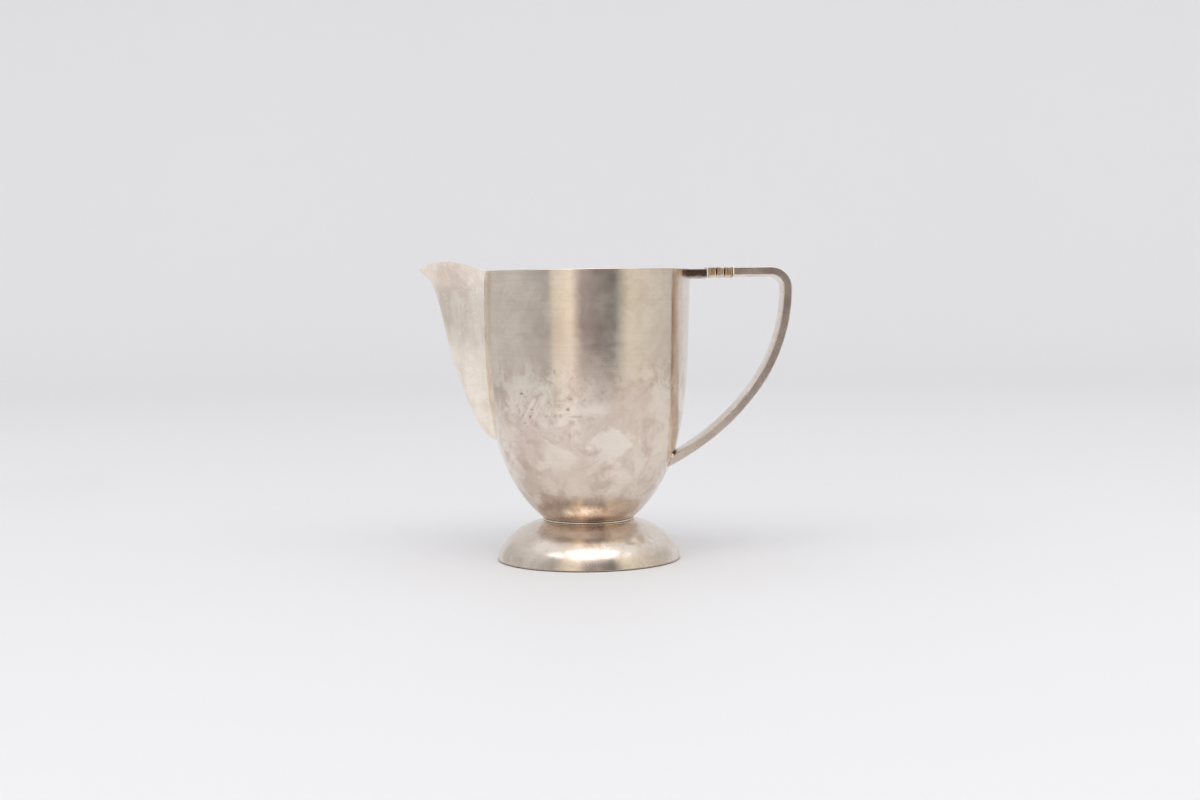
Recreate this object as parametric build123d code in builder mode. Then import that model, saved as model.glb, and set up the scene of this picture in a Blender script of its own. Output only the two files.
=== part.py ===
"""A footed cream jug in plated metal, built from separate soldered pieces.

The origin is the centre of the foot on the table. +X points to the handle, -X to the spout
and +Z up. All sizes are in millimetres.
"""

from build123d import *
import math
import os

# Bowl: a spun shell, open at the top, with a small flat floor
RIM_HEIGHT = 90.0
RIM_RADIUS = 32.5
BOWL_WALL = 0.9
NECK_HEIGHT = 12.9
NECK_RADIUS = 13.9
FLOOR_HEIGHT = 9.9
FLOOR_RADIUS = 5.5
RIM_ROUNDING = 0.25
RIM_FLARE = 0.04
# Places on the side between neck (0, 0) and rim (1, 1), as shares of the height and the radius
BOWL_SIDE = ((0.585, 0.932), (0.30, 0.755), (0.105, 0.394))
BOWL_INNER_STEPS = 8

# Foot: a spun dome, open below and above, that stands on a thin turned edge
FOOT_RADIUS = 28.45
FOOT_EDGE_HEIGHT = 0.45
FOOT_EDGE_PROUD = 0.15
FOOT_WALL = 0.9
FOOT_LEAN = 10.0
# Where one arc of the dome meets the next, as shares of the height and radius above the edge
FOOT_KNEES = ((0.548, 0.237), (0.80, 0.528))
NECK_RING_THICKNESS = 0.5
NECK_RING_PROUD = 0.35
NECK_RING_ROUNDING = 0.2

# Spout: a sheet folded to a beak, open to the bowl behind it
SPOUT_WALL = 0.9
SPOUT_FOOT_HEIGHT = 37.0
SPOUT_SINK = 0.6
SPOUT_REACH = 20.4
SPOUT_REACH_POWER = 0.53
SPOUT_NOSE_RADIUS = 1.5
SPOUT_SPREAD_FOOT = 22.0
SPOUT_SPREAD_RIM = 27.5
SPOUT_BULGE = 5.0
SPOUT_ROOT_DEPTH = 8.5
SPOUT_SEAM_ANGLE = 20.0
LIP_FLARE = 2.9
LIP_HEIGHT = 6.0
TIP_RISE = 0.7
CREST_RISE = 2.95
CREST_SHARE = 0.64
CREST_CLIMB = 20.0
CREST_FALL = 38.0
KEEL_STEPS = 5
LIP_STEPS = 4
LIP_STEP_SHARE = 0.4

# Handle: a strap with a crowned inner face, bent from one piece
HANDLE_WIDTH = 13.0
HANDLE_EDGE = 2.5
HANDLE_CROWN = 0.6
HANDLE_RISE = 0.3
HANDLE_REACH = 63.5
HANDLE_CORNER = 6.5
HANDLE_HEEL_HEIGHT = 29.2
HANDLE_HEEL_DEPTH = 6.0
HANDLE_ROUNDING = 0.3
# Where the back curve meets the heel curve, as shares of the rise and reach above the heel
HANDLE_ELBOW = (0.394, 0.697)
HEEL_BEAD_RADIUS = 0.75

# Socket, two collars and a reeded ferrule between the bowl and the handle's top arm
SOCKET_LENGTH = 4.85
SOCKET_DROP = 0.4
SOCKET_INSET = 0.1
COLLAR_THICKNESS = 0.45
COLLAR_PROUD = 0.15
REED_COUNT = 3
REED_PITCH = 2.5
REED_PROUD = 0.1
REED_ROUNDING = 0.7
TENON_WIDTH = 8.0
TENON_THICKNESS = 1.3
TENON_GRIP = 3.6
TENON_CLEARANCE = 0.05

os.makedirs("parts", exist_ok=True)


def between(start, end, shares):
    """Points between two (radius, height) points, from shares of the height and the radius."""
    return [
        (start[0] + across * (end[0] - start[0]), start[1] + up * (end[1] - start[1]))
        for up, across in shares
    ]


def tangent_arcs(points, heading):
    """Arcs through the points, each leaving in the direction in which the last one ended."""
    arcs = []
    for start, end in zip(points, points[1:]):
        arcs.append(TangentArc(start, end, tangent=heading))
        heading = arcs[-1] % 1
    return arcs


def inward(heading):
    """The direction to the right of a heading, which is inward on the way down a side."""
    return Vector(heading.Y, -heading.X, 0).normalized()


# Height of the handle's flat top, a little above the rim
handle_top = RIM_HEIGHT + HANDLE_RISE

# Outer form of the bowl as a full solid, which also trims the pieces soldered to it
neck_point = (NECK_RADIUS, NECK_HEIGHT)
rim_point = (RIM_RADIUS, RIM_HEIGHT)
floor_point = (FLOOR_RADIUS, FLOOR_HEIGHT)
bowl_points = [rim_point, *between(neck_point, rim_point, BOWL_SIDE), neck_point, floor_point]
bowl_headings = [(-RIM_FLARE, -1), (-1, 0)]
with BuildPart() as bowl_form:
    with BuildSketch(Plane.XZ):
        with BuildLine():
            bowl_side = Spline(*bowl_points, tangents=bowl_headings)
            Polyline(rim_point, (0, RIM_HEIGHT), (0, FLOOR_HEIGHT), floor_point)
        make_face()
    revolve(axis=Axis.Z)


def bowl_radius(height):
    """The bowl's outer radius at a height, found by halving along its side from the rim."""
    near, far = 0.0, 1.0
    for _ in range(40):
        middle = (near + far) / 2
        if (bowl_side @ middle).Y > height:
            near = middle
        else:
            far = middle
    return (bowl_side @ near).X


# Keel of the spout: it leaves the bowl level, sweeps up and flares outward at the lip
spout_rise = RIM_HEIGHT - SPOUT_FOOT_HEIGHT
keel_start = bowl_radius(SPOUT_FOOT_HEIGHT) - SPOUT_SINK
lip_start = 1 - LIP_HEIGHT / spout_rise
lip_step = LIP_STEP_SHARE * LIP_HEIGHT / spout_rise
spout_shares = [lip_start * (i / KEEL_STEPS) ** 2 for i in range(KEEL_STEPS + 1)]
spout_shares += [lip_start + (i + 1) * lip_step for i in range(LIP_STEPS)]
SHORT_STEP = 0.001


def keel(share):
    """The keel's outer face at a share of the rise, where 1 is level with the rim."""
    lip_share = max(0.0, share - lip_start) / (1 - lip_start)
    reach = SPOUT_REACH * share**SPOUT_REACH_POWER + LIP_FLARE * lip_share**2
    return Vector(-keel_start - reach, 0, SPOUT_FOOT_HEIGHT + share * spout_rise)


def keel_inside(share):
    """The keel's inner face, one sheet's thickness in from the outer one, square to it."""
    along = keel(share + SHORT_STEP) - keel(max(share - SHORT_STEP, 0))
    return keel(share) + Vector(along.Z, 0, -along.X).normalized() * SPOUT_WALL


def beak(nose, share, nose_radius):
    """A level section of the spout: a rounded nose and two bowed sides that run back."""
    spread = SPOUT_SPREAD_FOOT + share * (SPOUT_SPREAD_RIM - SPOUT_SPREAD_FOOT)
    leaving = math.radians(spread + SPOUT_BULGE / 2)
    shoulder_x = nose.X + nose_radius * (1 - math.sin(leaving))
    shoulder_y = nose_radius * math.cos(leaving)
    root_x = SPOUT_ROOT_DEPTH - RIM_RADIUS
    root_y = shoulder_y + (root_x - shoulder_x) * math.tan(math.radians(spread))
    heading = (math.cos(leaving), math.sin(leaving))
    with BuildSketch(Plane.XY.offset(nose.Z)) as section:
        with BuildLine():
            side = TangentArc((shoulder_x, shoulder_y), (root_x, root_y), tangent=heading)
            mirror(side, about=Plane.XZ)
            ThreePointArc((shoulder_x, shoulder_y), (nose.X, 0), (shoulder_x, -shoulder_y))
            Line((root_x, root_y), (root_x, -root_y))
        make_face()
    return section.sketch


inner_nose_radius = SPOUT_NOSE_RADIUS - SPOUT_WALL
with BuildPart() as spout_hollow:
    loft([beak(keel_inside(share), share, inner_nose_radius) for share in spout_shares])

# Spout: the folded sheet, coped to the bowl and cut to its curved top edge
tip = keel(1 + TIP_RISE / spout_rise)
cut_width = 2 * RIM_RADIUS
seam_x = -RIM_RADIUS * math.cos(math.radians(SPOUT_SEAM_ANGLE))
crest = (seam_x + CREST_SHARE * (tip.X - seam_x), RIM_HEIGHT + CREST_RISE)
with BuildPart() as spout:
    loft([beak(keel(share), share, SPOUT_NOSE_RADIUS) for share in spout_shares])
    add(spout_hollow.part, mode=Mode.SUBTRACT)
    add(bowl_form.part, mode=Mode.SUBTRACT)
    with BuildSketch(Plane.XZ):
        with BuildLine():
            climb = (-math.cos(math.radians(CREST_CLIMB)), math.sin(math.radians(CREST_CLIMB)))
            fall = (-math.cos(math.radians(CREST_FALL)), -math.sin(math.radians(CREST_FALL)))
            edge = Spline((seam_x, RIM_HEIGHT), crest, (tip.X, tip.Z), tangents=[climb, fall])
            past_tip = (tip.X - RIM_RADIUS, tip.Z - RIM_RADIUS * math.tan(math.radians(CREST_FALL)))
            above = RIM_HEIGHT + RIM_RADIUS
            Polyline(
                edge @ 1, past_tip, (past_tip[0], above), (0, above), (0, RIM_HEIGHT), edge @ 0
            )
        make_face()
    extrude(amount=cut_width, both=True, mode=Mode.SUBTRACT)
spout.part.label = "spout"
export_step(spout.part, "parts/spout.step")

# Bowl: the form hollowed to its wall, its rim rounded, and cut away behind the spout
with BuildPart() as bowl:
    with BuildSketch(Plane.XZ) as bowl_section:
        with BuildLine():
            outside = Spline(*bowl_points, tangents=bowl_headings)
            inner_points = [
                outside @ (i / BOWL_INNER_STEPS)
                + inward(outside % (i / BOWL_INNER_STEPS)) * BOWL_WALL
                for i in range(BOWL_INNER_STEPS + 1)
            ]
            inside = Spline(*inner_points, tangents=[outside % 0, outside % 1])
            Line(outside @ 0, inside @ 0)
            Polyline(
                floor_point, (0, FLOOR_HEIGHT), (0, FLOOR_HEIGHT + BOWL_WALL), inside @ 1
            )
        make_face()
        fillet(bowl_section.vertices().sort_by(Axis.Y)[-2:], RIM_ROUNDING)
    revolve(axis=Axis.Z)
    add(spout_hollow.part, mode=Mode.SUBTRACT)
bowl.part.label = "bowl"
export_step(bowl.part, "parts/bowl.step")

# Foot: a dome hollowed from below, opened at the top where the bowl's floor stands in it
foot_top = NECK_HEIGHT - NECK_RING_THICKNESS
foot_edge = (FOOT_RADIUS, FOOT_EDGE_HEIGHT)
foot_lean = math.radians(FOOT_LEAN)
foot_points = [foot_edge, *between(foot_edge, (NECK_RADIUS, foot_top), FOOT_KNEES)]
with BuildPart() as foot:
    with BuildSketch(Plane.XZ):
        with BuildLine():
            tangent_arcs(
                [*foot_points, (NECK_RADIUS, foot_top)],
                (-math.sin(foot_lean), math.cos(foot_lean)),
            )
            Line((NECK_RADIUS, foot_top), (FLOOR_RADIUS, foot_top))
            offset(amount=FOOT_WALL, side=Side.LEFT)
        make_face()
    revolve(axis=Axis.Z)
    add(bowl_form.part, mode=Mode.SUBTRACT)
    with BuildSketch():
        Circle(FOOT_RADIUS + FOOT_EDGE_PROUD)
        Circle(FOOT_RADIUS - FOOT_WALL, mode=Mode.SUBTRACT)
    extrude(amount=FOOT_EDGE_HEIGHT)
foot.part.label = "foot"
export_step(foot.part, "parts/foot.step")

# Neck ring: a thin wire ring soldered in the angle between the bowl and the foot
with BuildPart() as neck_ring:
    with BuildSketch(Plane.XY.offset(foot_top)):
        Circle(NECK_RADIUS + NECK_RING_PROUD)
    extrude(amount=NECK_RING_THICKNESS)
    fillet(neck_ring.edges(), NECK_RING_ROUNDING)
    add(bowl_form.part, mode=Mode.SUBTRACT)
neck_ring.part.label = "neck_ring"
export_step(neck_ring.part, "parts/neck_ring.step")

# Places along the top arm, from the bowl outward
socket_end = RIM_RADIUS + SOCKET_LENGTH
ferrule_start = socket_end + COLLAR_THICKNESS
ferrule_end = ferrule_start + REED_COUNT * REED_PITCH
handle_start = ferrule_end + COLLAR_THICKNESS
tenon_height = handle_top - (HANDLE_EDGE + HANDLE_CROWN) / 2


def strap(x, grow=0.0, drop=0.0):
    """The strap's section across the top arm, grown all round and dropped as asked."""
    half = HANDLE_WIDTH / 2 + grow
    top = handle_top + grow - drop
    side_bottom = handle_top - HANDLE_EDGE - grow - drop
    with BuildSketch(Plane((x, 0, 0), x_dir=(0, 1, 0), z_dir=(1, 0, 0))) as section:
        with BuildLine():
            crown = ThreePointArc(
                (-half, side_bottom), (0, side_bottom - HANDLE_CROWN), (half, side_bottom)
            )
            Polyline(crown @ 1, (half, top), (-half, top), crown @ 0)
        make_face()
        fillet(section.vertices(), HANDLE_ROUNDING)
    return section.sketch


def slot(start, length):
    """The space that the tenon passes through, with its clearance all round."""
    width = TENON_WIDTH + 2 * TENON_CLEARANCE
    thickness = TENON_THICKNESS + 2 * TENON_CLEARANCE
    with BuildPart() as space:
        with BuildSketch(Plane((start, 0, tenon_height), x_dir=(0, 1, 0), z_dir=(1, 0, 0))):
            Rectangle(width, thickness)
        extrude(amount=length)
    return space.part


# Socket: a stub soldered to the bowl, with a blind slot that grips the tenon
with BuildPart() as handle_socket:
    socket_root = SOCKET_LENGTH + HANDLE_WIDTH / 2
    extrude(strap(socket_end, -SOCKET_INSET, SOCKET_DROP), amount=-socket_root)
    add(bowl_form.part, mode=Mode.SUBTRACT)
    add(
        slot(socket_end - TENON_GRIP - TENON_CLEARANCE, TENON_GRIP + TENON_CLEARANCE),
        mode=Mode.SUBTRACT,
    )
handle_socket.part.label = "handle_socket"
export_step(handle_socket.part, "parts/handle_socket.step")

# Collars: thin plates that close the ferrule at both ends
for collar_name, collar_start in (("inner_collar", socket_end), ("outer_collar", ferrule_end)):
    with BuildPart() as collar:
        extrude(strap(collar_start, COLLAR_PROUD), amount=COLLAR_THICKNESS)
        add(slot(collar_start, COLLAR_THICKNESS), mode=Mode.SUBTRACT)
    collar.part.label = collar_name
    export_step(collar.part, f"parts/{collar_name}.step")

# Ferrule: a row of rounded reeds in one piece, pierced by the tenon
with BuildPart() as reed:
    extrude(strap(ferrule_start, REED_PROUD), amount=REED_PITCH)
    fillet(reed.faces().filter_by(Axis.X).edges(), REED_ROUNDING)
with BuildPart() as ferrule:
    for i in range(REED_COUNT):
        add(reed.part.moved(Location((i * REED_PITCH, 0, 0))))
    add(slot(ferrule_start, REED_COUNT * REED_PITCH), mode=Mode.SUBTRACT)
ferrule.part.label = "ferrule"
export_step(ferrule.part, "parts/ferrule.step")

# Handle: the strap swept along its outer edge, coped to the bowl, with its tenon
corner_start = (HANDLE_REACH - HANDLE_CORNER, handle_top)
corner_end = (HANDLE_REACH, handle_top - HANDLE_CORNER)
heel = (bowl_radius(HANDLE_HEEL_HEIGHT), HANDLE_HEEL_HEIGHT)
elbow = between(heel, corner_end, [HANDLE_ELBOW])[0]
tenon_length = 2 * COLLAR_THICKNESS + REED_COUNT * REED_PITCH + TENON_GRIP
with BuildPart() as handle:
    with BuildLine(Plane.XZ) as strap_path:
        Line((handle_start, handle_top), corner_start)
        bends = tangent_arcs([corner_start, corner_end, elbow, heel], (1, 0))
        Line(bends[-1] @ 1, (bends[-1] @ 1) + (bends[-1] % 1) * HANDLE_HEEL_DEPTH)
    sweep(strap(handle_start), path=strap_path.line)
    add(bowl_form.part, mode=Mode.SUBTRACT)
    with BuildSketch(Plane((handle_start, 0, tenon_height), x_dir=(0, 1, 0), z_dir=(1, 0, 0))):
        Rectangle(TENON_WIDTH, TENON_THICKNESS)
    extrude(amount=-tenon_length)
handle.part.label = "handle"
export_step(handle.part, "parts/handle.step")

# Solder beads: one in each inner corner where the heel's sides meet the bowl
heel_corners = handle.vertices().filter_by(lambda v: v.X < heel[0] + HANDLE_EDGE and v.Y < 0)
heel_corner = heel_corners.filter_by(lambda v: v.Y < -HANDLE_WIDTH / 4).sort_by(Axis.Z)[-1]
with BuildPart() as heel_beads:
    for side in (-1, 1):
        with Locations((heel_corner.X, side * abs(heel_corner.Y), heel_corner.Z)):
            Sphere(HEEL_BEAD_RADIUS)
    add(bowl_form.part, mode=Mode.SUBTRACT)
    add(handle.part, mode=Mode.SUBTRACT)
heel_beads.part.label = "heel_beads"
export_step(heel_beads.part, "parts/heel_beads.step")
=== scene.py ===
"""The cream jug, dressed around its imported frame, with the photograph's camera and light."""

import bpy
import math
from functools import cached_property
from mathutils import Matrix

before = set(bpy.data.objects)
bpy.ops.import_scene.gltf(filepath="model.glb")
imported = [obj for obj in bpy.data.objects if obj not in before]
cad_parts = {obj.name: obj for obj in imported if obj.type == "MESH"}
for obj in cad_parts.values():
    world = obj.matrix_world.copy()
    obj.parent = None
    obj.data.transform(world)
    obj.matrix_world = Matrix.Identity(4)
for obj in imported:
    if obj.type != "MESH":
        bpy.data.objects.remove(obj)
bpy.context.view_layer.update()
MM = 0.001

# Camera of the photograph: its place, its turns in degrees, and a 50 mm lens on a 36 mm sensor
CAMERA_AT = (4.034 * MM, -519.52 * MM, 82.24 * MM)
CAMERA_PITCH = 3.6056
CAMERA_ROLL = -0.7314
LENS = 50.0
SENSOR = 36.0


def place_object(name, data):
    """A new object in the scene, made of its data."""
    made = bpy.data.objects.new(name, data)
    bpy.context.scene.collection.objects.link(made)
    return made


def make_camera():
    """The camera at the photograph's place and angle."""
    data = bpy.data.cameras.new("camera")
    data.lens = LENS
    data.sensor_width = SENSOR
    camera = place_object("camera", data)
    tilt = Matrix.Rotation(math.radians(90 - CAMERA_PITCH), 4, "X")
    roll = Matrix.Rotation(math.radians(CAMERA_ROLL), 4, "Z")
    camera.matrix_world = Matrix.Translation(CAMERA_AT) @ tilt @ roll
    bpy.context.scene.camera = camera
    bpy.context.scene.view_settings.view_transform = "Standard"


# Where the front half fades into the back half, by depth
FRONT_FADE = (-6 * MM, 2 * MM)
# How far a patch's edge wanders in and out
RAG = 2.6 * MM


class Graph:
    """A material's node tree, built by short calls."""

    def __init__(self, name):
        self.material = bpy.data.materials.new(name)
        self.material.use_nodes = True
        self.tree = self.material.node_tree
        self.shader = self.tree.nodes["Principled BSDF"]
        self.place = self.add("ShaderNodeTexCoord").outputs["Object"]

    def fill(self, socket, value):
        """Links an input to a socket, or sets it to a value."""
        if isinstance(value, bpy.types.NodeSocket):
            self.tree.links.new(value, socket)
        else:
            socket.default_value = value

    def add(self, kind, settings=None, inputs=None):
        """A node with its settings, and its inputs filled."""
        made = self.tree.nodes.new(kind)
        for key, value in (settings or {}).items():
            setattr(made, key, value)
        for key, value in (inputs or {}).items():
            self.fill(made.inputs[key], value)
        return made

    def stretched(self, scale):
        """The surface's place, scaled along each axis."""
        made = self.add("ShaderNodeMapping", inputs={"Vector": self.place, "Scale": scale})
        return made.outputs[0]

    def noise(self, scale, detail, rough=0.55, vector=None, distortion=0.0):
        """Cloud noise from 0 to 1, with its scale in turns per metre."""
        return self.add(
            "ShaderNodeTexNoise",
            inputs={
                "Vector": vector or self.place,
                "Scale": scale,
                "Detail": detail,
                "Roughness": rough,
                "Distortion": distortion,
            },
        ).outputs["Fac"]

    def span(self, value, low, high, to_low=0.0, to_high=1.0):
        """A value moved from one range to another and held inside it."""
        return self.add(
            "ShaderNodeMapRange",
            settings={"interpolation_type": "SMOOTHSTEP"},
            inputs={0: value, 1: low, 2: high, 3: to_low, 4: to_high},
        ).outputs[0]

    def clouds(self, low, high, **noise):
        """Cloud noise, 0 where it is under one value and 1 where it is over another."""
        return self.span(self.noise(**noise), low, high)

    def math(self, operation, first, second):
        """One sum of two values."""
        return self.add(
            "ShaderNodeMath", settings={"operation": operation}, inputs={0: first, 1: second}
        ).outputs[0]

    def times(self, first, second):
        """The product of two values."""
        return self.math("MULTIPLY", first, second)

    def mix(self, share, first, second):
        """A colour between two colours."""
        return self.add(
            "ShaderNodeMix",
            settings={"data_type": "RGBA"},
            inputs={0: share, 6: first, 7: second},
        ).outputs[2]

    @cached_property
    def axes(self):
        """The surface's place along x, y and z, in metres."""
        return self.add("ShaderNodeSeparateXYZ", inputs={0: self.place}).outputs

    @cached_property
    def height(self):
        """The height above the table, in metres."""
        return self.axes[2]

    @cached_property
    def flat(self):
        """The surface's place seen from the front, with its depth taken out."""
        return self.stretched((1.0, 0.0, 1.0))

    @cached_property
    def front(self):
        """1 on the half towards the front and 0 behind."""
        return self.span(self.axes[1], *FRONT_FADE, 1.0, 0.0)

    @cached_property
    def ragged(self):
        """A small random length, which roughens the edge of a patch."""
        wander = self.noise(scale=170.0, detail=6.0, rough=0.7)
        return self.span(wander, low=0.25, high=0.75, to_low=-RAG, to_high=RAG)

    def faded(self, share, fade):
        """A share that changes with the height, where such a change is given."""
        return self.times(share, self.span(self.height, *fade)) if fade else share

    def patch(self, centre, radii, soft, rag):
        """1 inside an oval on the front, given by its middle and radii across and up, in mm."""
        across, up = radii
        # Here the oval becomes a circle with a radius of MM
        moved = self.add(
            "ShaderNodeMapping",
            inputs={
                "Vector": self.flat,
                "Location": (-centre[0] * MM / across, 0.0, -centre[1] * MM / up),
                "Scale": (1.0 / across, 0.0, 1.0 / up),
            },
        ).outputs[0]
        away = self.add(
            "ShaderNodeVectorMath", settings={"operation": "LENGTH"}, inputs={0: moved}
        ).outputs["Value"]
        edge = self.times(self.ragged, rag / min(across, up))
        away = self.math("ADD", away, edge)
        share = soft * MM / min(across, up)
        inside = self.span(away, MM - share, MM + share, 1.0, 0.0)
        return self.times(inside, self.front)

    def link(self, value, name):
        """Links a value to the shader."""
        self.tree.links.new(value, self.shader.inputs[name])

    def bump(self, height, strength, distance, normal=None):
        """A bump of a height field, in metres."""
        made = self.add(
            "ShaderNodeBump", inputs={"Height": height, "Strength": strength, "Distance": distance}
        )
        if normal:
            self.tree.links.new(normal, made.inputs["Normal"])
        return made.outputs[0]


def colour(red, green, blue):
    """An opaque colour."""
    return (red, green, blue, 1.0)


PALE = colour(0.86, 0.78, 0.69)
CHAMPAGNE = colour(0.79, 0.69, 0.595)
ROSE = colour(0.62, 0.49, 0.42)
TAN = colour(0.72, 0.60, 0.46)
BROWN = colour(0.40, 0.29, 0.22)
DARK = colour(0.10, 0.065, 0.045)
BRIGHT = colour(0.97, 0.88, 0.77)
BRIGHT_PALE = colour(0.97, 0.89, 0.80)
COLLAR = colour(0.96, 0.88, 0.78)
COLLAR_PALE = colour(0.98, 0.93, 0.86)
BRONZE = colour(0.62, 0.44, 0.28)
BRONZE_PALE = colour(0.80, 0.62, 0.42)
# Partly worn gilt, partly a painted highlight on the ferrule's reeds
WORN_GILT_AND_HIGHLIGHT = colour(0.98, 0.84, 0.66)

# Only plate with more clouds than this has freckles
FEW_CLOUDS = 0.3
FRECKLE_STRENGTH = 0.65
# Turns per metre of upright streaks and of level brush lines, along x, y and z
STREAK_SCALE = (420.0, 420.0, 34.0)
LINE_SCALE = (26.0, 26.0, 3600.0)
LINE_TINT = 0.22
# What is left of the darker, rosier tint low down where the broad clouds are thickest
LOWER_TINT_LEAST = 0.55
# The edge of an oval with a radius of this many mm or less wanders by this share only
SMALL_OVAL = 0.7
SMALL_OVAL_RAG = 0.08
PITS_PER_METRE = 420.0
# How near another surface has to be for a corner to darken, partly as tarnish and partly as painted
# shade
CORNER_REACH = 0.9 * MM
# Painted shadow along the lowest edge: its strength, and the share of its height up to which it is
# full
LOW_EDGE_SHADOW = 0.85
LOW_EDGE_FULL = 0.6
BRUSHED_SHINE = 0.7
QUARTER_TURN = 0.25
# Depths of the relief, in metres, and how strongly lines and pits show
DENT_DEPTH = 0.0002
LINE_DEPTH = 0.00002
LINE_STRENGTH = 0.30
PIT_DEPTH = 0.00008
PIT_STRENGTH = 0.6
# How far wear takes the roughness down and up
SMOOTHER = 0.05
ROUGHER = 0.08


def freckles(g, clouds):
    """Small brown freckles, which gather in some areas."""
    dots = g.clouds(scale=520.0, detail=5.0, rough=0.7, low=0.52, high=0.72)
    areas = g.clouds(scale=38.0, detail=3.0, rough=0.5, low=0.42, high=0.62)
    return g.times(g.times(dots, areas), FRECKLE_STRENGTH * clouds)


def tarnish(g, clean, pale, clouds, cloud_top, streaks, brown_below):
    """Two tones of silver under clouds, freckles, rubbed streaks and a darker, rosier tint low
    down.
    """
    broad = g.clouds(scale=42.0, detail=5.0, rough=0.6, distortion=0.4, low=0.36, high=0.66)
    fine = g.clouds(scale=120.0, detail=7.0, rough=0.68, distortion=0.9, low=0.44, high=0.68)
    tone = g.mix(broad, clean, pale)
    tone = g.mix(g.faded(g.times(fine, clouds), cloud_top), tone, ROSE)
    if clouds > FEW_CLOUDS:
        tone = g.mix(g.faded(freckles(g, clouds), cloud_top), tone, BROWN)
    if streaks:
        upright = g.stretched(STREAK_SCALE)
        rubbed = g.clouds(scale=1.0, detail=4.0, rough=0.6, vector=upright, low=0.42, high=0.70)
        tone = g.mix(g.times(rubbed, streaks), tone, TAN)
    if brown_below:
        lower_tint = g.span(g.height, *brown_below)
        uneven = g.span(broad, low=0.0, high=1.0, to_low=1.0, to_high=LOWER_TINT_LEAST)
        tone = g.mix(g.times(lower_tint, uneven), tone, ROSE)
    return tone


def marked(g, tone, patches):
    """A tone with its chosen patches over it."""
    for centre, radii, soft, tint, strength in patches:
        rag = 1.0 if min(radii) > SMALL_OVAL else SMALL_OVAL_RAG
        share = g.times(g.patch(centre, radii, soft, rag), strength)
        tone = g.mix(share, tone, tint)
    return tone


def pitting(g):
    """1 in small round pits, which lie in a few areas, and 0 elsewhere."""
    speck = g.add(
        "ShaderNodeTexVoronoi",
        inputs={"Vector": g.place, "Scale": PITS_PER_METRE, "Randomness": 1.0},
    ).outputs["Distance"]
    areas = g.clouds(scale=90.0, detail=3.0, rough=0.5, low=0.60, high=0.70)
    return g.times(g.span(speck, low=0.06, high=0.20, to_low=1.0, to_high=0.0), areas)


def dirtied_and_shaded(g, tone, grime_and_shade, shadow_below):
    """A tone darkened in its corners, as tarnish and painted shade, with a painted shadow along its
    lowest edge.
    """
    if grime_and_shade:
        # Painted shade and tarnish: the colour darkens where another surface is near
        hollow = g.add(
            "ShaderNodeAmbientOcclusion", settings={"samples": 8}, inputs={"Distance": CORNER_REACH}
        ).outputs["AO"]
        corner = g.span(hollow, low=0.45, high=0.80, to_low=grime_and_shade, to_high=0.0)
        tone = g.mix(corner, tone, DARK)
    if shadow_below:
        # Painted shadow along the lowest edge, where it stands on the table
        edge = g.span(g.height, LOW_EDGE_FULL * shadow_below, shadow_below, LOW_EDGE_SHADOW, 0.0)
        tone = g.mix(edge, tone, DARK)
    return tone


def brush_round(g, spun):
    """Draws the shine out round the upright axis, as brushing on a lathe does."""
    turned = g.add("ShaderNodeTangent", settings={"direction_type": "RADIAL", "axis": "Z"})
    g.link(turned.outputs[0], "Tangent")
    g.shader.inputs["Anisotropic"].default_value = BRUSHED_SHINE * spun
    g.shader.inputs["Anisotropic Rotation"].default_value = QUARTER_TURN


def plate(
    name, rough, clean=CHAMPAGNE, pale=PALE, clouds=0.5, spun=0.0, pits=0.5, grime_and_shade=0.6, dented=0.0,
    patches=(), cloud_top=None, streaks=0.0, brown_below=None, shadow_below=None,
):
    """Tarnished metal: clouded colour, fine spinning lines, pits and chosen patches.

    Where a range of heights is given, it holds two heights and the shares at them.
    """
    g = Graph(name)
    tone = tarnish(g, clean, pale, clouds, cloud_top, streaks, brown_below)
    tone = marked(g, tone, patches)
    pit = pitting(g)
    tone = g.mix(g.times(pit, pits), tone, DARK)
    tone = dirtied_and_shaded(g, tone, grime_and_shade, shadow_below)
    relief = g.bump(g.noise(scale=60.0, detail=3.0, rough=0.5), dented, DENT_DEPTH)
    if spun:
        level = g.stretched(LINE_SCALE)
        lines = g.noise(scale=1.0, detail=3.0, rough=0.6, vector=level)
        tint = g.span(lines, low=0.45, high=0.75, to_low=0.0, to_high=LINE_TINT * spun)
        tone = g.mix(tint, tone, ROSE)
        relief = g.bump(lines, LINE_STRENGTH * spun, LINE_DEPTH, relief)
        brush_round(g, spun)
    relief = g.bump(g.math("SUBTRACT", 1.0, pit), PIT_STRENGTH * pits, PIT_DEPTH, relief)
    wear = g.noise(scale=130.0, detail=5.0, rough=0.6)
    worn = g.span(wear, low=0.3, high=0.75, to_low=rough - SMOOTHER, to_high=rough + ROUGHER)
    g.link(tone, "Base Color")
    g.link(worn, "Roughness")
    g.link(relief, "Normal")
    g.shader.inputs["Metallic"].default_value = 1.0
    return g.material


SURROUND_RADIUS = 0.36
SURROUND_TOP = 0.32
SURROUND_STEPS = 140
# Over this range of heights the surround grows a little lighter
SURROUND_LIGHTER = (0.13, 0.21)
SURROUND_GAIN = 1.15
WALL = (0.60, 0.60, 0.60)
SHADE = (0.40, 0.40, 0.40)
CARD = (0.75, 0.70, 0.60)
LAMP = (1.00, 0.90, 0.80)
CURTAIN = (0.35, 0.30, 0.30)
GAP = (0.15, 0.15, 0.15)
WINDOW = (0.80, 0.80, 0.85)
# What stands round the jug, from its left to its right, by degrees from straight in front
SURROUND = (
    (-140, WALL),
    (-80, WALL),
    (-40, SHADE),
    (-34, CARD),
    (-15, LAMP),
    (-5, CURTAIN),
    (30, GAP),
    (45, CARD),
    (110, WALL),
    (140, WINDOW),
)


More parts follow.
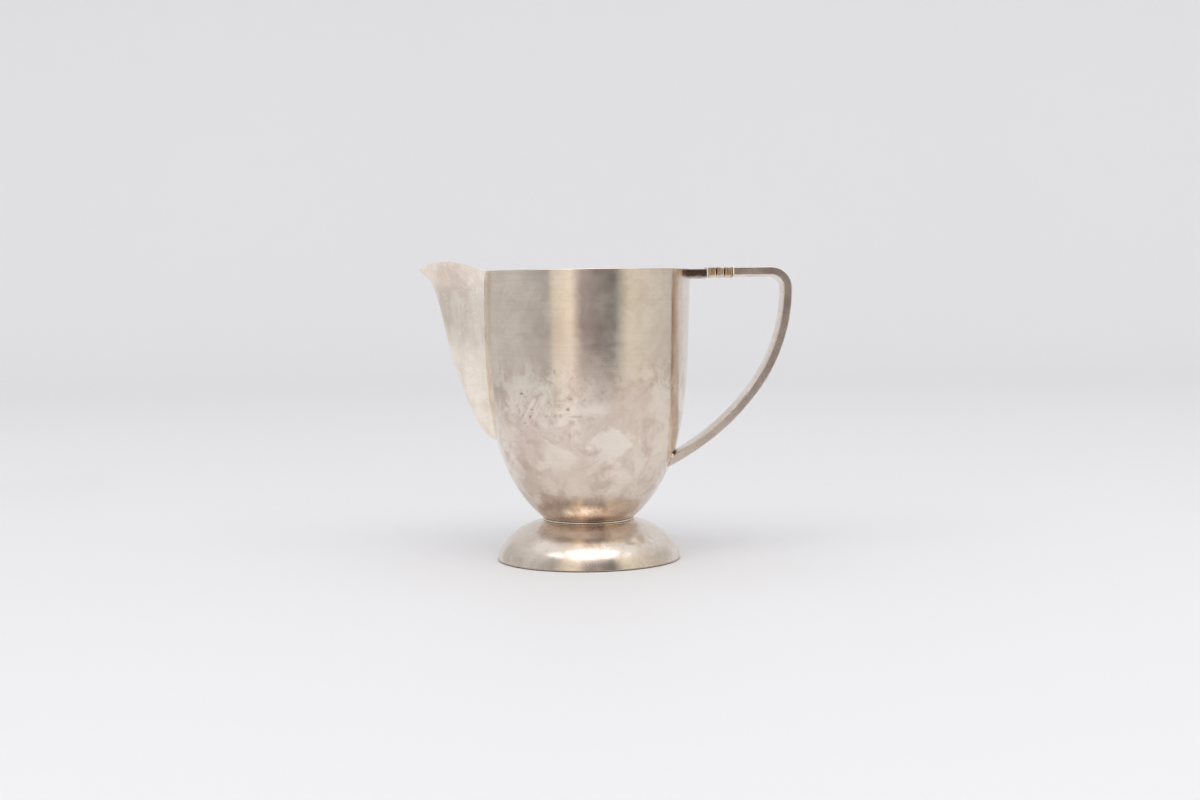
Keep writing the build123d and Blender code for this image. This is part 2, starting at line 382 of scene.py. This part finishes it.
def surround_paint():
    """The surround's glow, whose colour changes along the arc."""
    g = Graph("surround")
    g.tree.nodes.remove(g.shader)
    share = g.add("ShaderNodeAttribute", settings={"attribute_name": "along"}).outputs["Fac"]
    ramp = g.add("ShaderNodeValToRGB", inputs={0: share})
    stops = ramp.color_ramp.elements
    while len(stops) < len(SURROUND):
        stops.new(0.5)
    first, last = SURROUND[0][0], SURROUND[-1][0]
    for index, (turn, _) in enumerate(SURROUND):
        stops[index].position = (turn - first) / (last - first)
    for index, (_, shade) in enumerate(SURROUND):
        stops[index].color = (*shade, 1.0)
    strength = g.span(g.height, *SURROUND_LIGHTER, 1.0, SURROUND_GAIN)
    glow = g.add("ShaderNodeEmission", inputs={"Color": ramp.outputs[0], "Strength": strength})
    g.tree.links.new(glow.outputs[0], g.tree.nodes["Material Output"].inputs[0])
    return g.material


def make_surround():
    """Upright panels in an arc round the front of the jug, which only reflections see."""
    first, last = SURROUND[0][0], SURROUND[-1][0]
    shares = [step / SURROUND_STEPS for step in range(SURROUND_STEPS + 1)]
    verts = []
    for share in shares:
        turn = math.radians(first + (last - first) * share)
        across, ahead = SURROUND_RADIUS * math.sin(turn), SURROUND_RADIUS * math.cos(turn)
        verts += [(across, -ahead, 0.0), (across, -ahead, SURROUND_TOP)]
    faces = [(2 * i, 2 * i + 2, 2 * i + 3, 2 * i + 1) for i in range(SURROUND_STEPS)]
    mesh = bpy.data.meshes.new("surround")
    mesh.from_pydata(verts, [], faces)
    along = mesh.attributes.new("along", "FLOAT", "POINT")
    along.data.foreach_set("value", [share for share in shares for _ in range(2)])
    mesh.materials.append(surround_paint())
    made = place_object("surround", mesh)
    made.visible_camera = False
    made.visible_diffuse = False
    made.visible_shadow = False


# The floor and the wall behind the jug, in metres
WALL_AT = 1.6
WALL_TOP = 2.4
BEND_RADIUS = 0.6
BEND_STEPS = 12
FLOOR_FRONT = -6.0
FLOOR_SIDE = 7.0
FLOOR_GREY = colour(0.80, 0.80, 0.81)
FLOOR_PALE_GREY = colour(0.82, 0.82, 0.83)


def make_floor():
    """A pale floor that sweeps up into a pale wall behind the jug."""
    bend_from = WALL_AT - BEND_RADIUS
    profile = [(FLOOR_FRONT, 0.0), (bend_from, 0.0)]
    for step in range(1, BEND_STEPS + 1):
        angle = math.radians(90 * step / BEND_STEPS)
        depth = bend_from + BEND_RADIUS * math.sin(angle)
        profile.append((depth, BEND_RADIUS - BEND_RADIUS * math.cos(angle)))
    profile.append((WALL_AT, WALL_TOP))
    verts = [(x, y, z) for y, z in profile for x in (-FLOOR_SIDE, FLOOR_SIDE)]
    faces = [(2 * i, 2 * i + 1, 2 * i + 3, 2 * i + 2) for i in range(len(profile) - 1)]
    mesh = bpy.data.meshes.new("floor")
    mesh.from_pydata(verts, [], faces)
    mesh.polygons.foreach_set("use_smooth", [True] * len(faces))
    g = Graph("floor")
    tone = g.mix(g.noise(scale=2.0, detail=2.0), FLOOR_GREY, FLOOR_PALE_GREY)
    g.link(tone, "Base Color")
    g.shader.inputs["Roughness"].default_value = 0.6
    mesh.materials.append(g.material)
    place_object("floor", mesh)


ROOM_COLOUR = colour(0.98, 0.98, 1.0)
ROOM_STRENGTH = 0.88
WHITE = (1.0, 1.0, 1.0)
WARM_WHITE = (1.0, 0.97, 0.93)
LIGHT_HEIGHT = 1.6
LIGHT_FORWARD = 1.20
LIGHT_DEPTH = 1.25
# The lights above, which shine straight down: name, place across, width, watts and tint
LIGHTS = (
    ("above", 0.15, 1.7, 11.0, WARM_WHITE),
    ("above_left", -1.55, 1.3, 6.0, WHITE),
    ("above_right", 1.90, 1.2, 6.0, WHITE),
)


def make_light():
    """Soft studio light: a pale room and three wide panels above, in front of the jug."""
    world = bpy.data.worlds.new("room")
    bpy.context.scene.world = world
    world.use_nodes = True
    background = world.node_tree.nodes["Background"]
    background.inputs["Color"].default_value = ROOM_COLOUR
    background.inputs["Strength"].default_value = ROOM_STRENGTH
    for name, across, width, power, tint in LIGHTS:
        data = bpy.data.lights.new(name, "AREA")
        data.shape = "RECTANGLE"
        data.size = width
        data.size_y = LIGHT_DEPTH
        data.energy = power
        data.color = tint
        place_object(name, data).location = (across, -LIGHT_FORWARD, LIGHT_HEIGHT)


def paint(node, material):
    """Gives every slot of a CAD node one material."""
    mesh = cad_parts[node].data
    if not mesh.materials:
        mesh.materials.append(material)
    for index in range(len(mesh.materials)):
        mesh.materials[index] = material


# Marks on the front, as ovals placed where the photograph shows marks: the middle and
# the radii, across and up, the softness of the edge, all in mm, then the colour and its strength
BOWL_PATCHES = (
    # Painted shade where the spout joins the bowl at the rim
    ((-31.2, 88.0), (0.55, 1.5), 0.4, DARK, 0.75),
    ((6.5, 40.5), (10.5, 7.5), 2.5, ROSE, 0.45),
    ((14.5, 50.0), (5.5, 6.5), 2.5, ROSE, 0.50),
    ((-17.0, 39.0), (4.5, 8.0), 2.0, ROSE, 0.50),
    ((-4.0, 30.0), (8.0, 3.0), 2.0, ROSE, 0.35),
    ((7.6, 37.4), (5.6, 4.4), 1.0, PALE, 0.95),
    ((-8.0, 34.0), (4.0, 3.4), 1.5, PALE, 0.6),
    ((-9.0, 19.6), (7.0, 2.4), 1.2, BROWN, 0.45),
    ((3.5, 15.5), (3.4, 3.0), 0.9, BROWN, 0.45),
    ((-16.5, 26.0), (3.4, 5.0), 1.8, BROWN, 0.38),
    ((-25.5, 53.0), (1.8, 3.4), 1.0, BROWN, 0.35),
    ((-21.0, 57.0), (3.6, 1.3), 1.0, PALE, 0.8),
    ((-19.3, 53.2), (0.40, 0.26), 0.25, DARK, 0.8),
    ((-18.4, 52.2), (0.22, 0.18), 0.2, DARK, 0.6),
    ((-16.3, 48.6), (0.42, 0.22), 0.2, DARK, 0.75),
    ((-16.8, 46.4), (0.20, 0.36), 0.2, DARK, 0.5),
    ((-14.0, 55.8), (0.20, 0.20), 0.2, DARK, 0.5),
    ((-5.4, 48.7), (0.45, 0.45), 0.4, BROWN, 0.9),
)
SPOUT_PATCHES = (
    ((-44.0, 87.0), (9.0, 4.6), 3.0, ROSE, 0.60),
    ((-45.5, 78.0), (2.0, 9.0), 1.4, ROSE, 0.35),
    ((-38.5, 46.5), (2.2, 6.0), 1.2, ROSE, 0.6),
    ((-31.5, 44.0), (1.4, 5.5), 1.2, ROSE, 0.45),
)
FOOT_PATCHES = (((2.8, 9.0), (3.2, 1.6), 0.9, BROWN, 0.22),)
# A painted shadow where the socket meets the bowl
SOCKET_SHADE_PATCHES = (((33.5, 89.5), (3.4, 3.0), 1.2, DARK, 0.85),)
# Light spots on the reeds, partly worn gilt and partly painted highlights, and brown spots between
# them, partly tarnish and partly painted dark reflections
FERRULE_WEAR_AND_HIGHLIGHTS = (
    ((39.2, 90.2), (0.75, 2.2), 0.35, WORN_GILT_AND_HIGHLIGHT, 1.0),
    ((41.9, 90.6), (0.75, 1.6), 0.35, WORN_GILT_AND_HIGHLIGHT, 1.0),
    ((40.5, 89.8), (0.55, 1.4), 0.3, BROWN, 0.8),
    ((43.3, 89.6), (0.6, 1.2), 0.4, BROWN, 0.6),
)
# Heights in metres, then the shares at them: clouds thin out above, and the plate turns darker and
# rosier below
BOWL_CLOUDS = (0.056, 0.066, 1.0, 0.30)
BOWL_LOWER_TINT = (0.014, 0.030, 0.42, 0.0)
# The foot's edge has a painted shadow up to this height, in metres
FOOT_EDGE_SHADOW = 0.00045


def bowl_plate():
    """Spun plate, clouded on its lower half and darker and rosier at the bottom."""
    return plate(
        "bowl_plate", rough=0.20, clouds=0.90, spun=1.0, dented=0.30, patches=BOWL_PATCHES,
        cloud_top=BOWL_CLOUDS, brown_below=BOWL_LOWER_TINT,
    )


def spout_plate():
    """Bright plate with rubbed upright streaks."""
    return plate(
        "spout_plate", rough=0.24, clean=BRIGHT, pale=BRIGHT_PALE, clouds=0.25, pits=0.1,
        dented=0.12, patches=SPOUT_PATCHES, streaks=0.38,
    )


def foot_plate():
    """Spun plate with a painted shadow along the edge where it stands."""
    return plate(
        "foot_plate", rough=0.23, clouds=0.45, spun=0.6, pits=0.15, dented=0.15,
        patches=FOOT_PATCHES, shadow_below=FOOT_EDGE_SHADOW,
    )


def handle_plate():
    """Smooth plate, lightly clouded."""
    return plate("handle_plate", rough=0.24, clouds=0.45, pits=0.0, dented=0.06)


def socket_plate():
    """Brown plate, with painted shade where it meets the bowl."""
    return plate(
        "socket_plate", rough=0.28, clean=BROWN, pale=ROSE, dented=0.05, patches=SOCKET_SHADE_PATCHES
    )


def collar_plate():
    """Bright plate with a matt surface."""
    return plate(
        "collar_plate", rough=0.55, clean=COLLAR, pale=COLLAR_PALE, clouds=0.1, pits=0.0, grime_and_shade=0.0
    )


def ferrule_bronze():
    """Plate worn down to a warm bronze, with light and dark spots on its reeds: partly worn gilt
    and tarnish, partly painted highlights and reflections.
    """
    return plate(
        "ferrule_bronze", rough=0.30, clean=BRONZE, pale=BRONZE_PALE, clouds=0.2, pits=0.0,
        patches=FERRULE_WEAR_AND_HIGHLIGHTS,
    )


def solder():
    """Pale bare solder."""
    return plate("solder", rough=0.2, clean=PALE, clouds=0.3, pits=0.0, grime_and_shade=0.0)


# Each material and the CAD nodes that it goes on
PAINTS = (
    (bowl_plate, ("bowl",)),
    (spout_plate, ("spout",)),
    (foot_plate, ("foot",)),
    (handle_plate, ("handle",)),
    (socket_plate, ("handle_socket",)),
    (collar_plate, ("inner_collar", "outer_collar")),
    (ferrule_bronze, ("ferrule",)),
    (solder, ("neck_ring", "heel_beads")),
)

make_camera()
make_floor()
make_light()
make_surround()
for make_material, nodes in PAINTS:
    material = make_material()
    for node in nodes:
        paint(node, material)
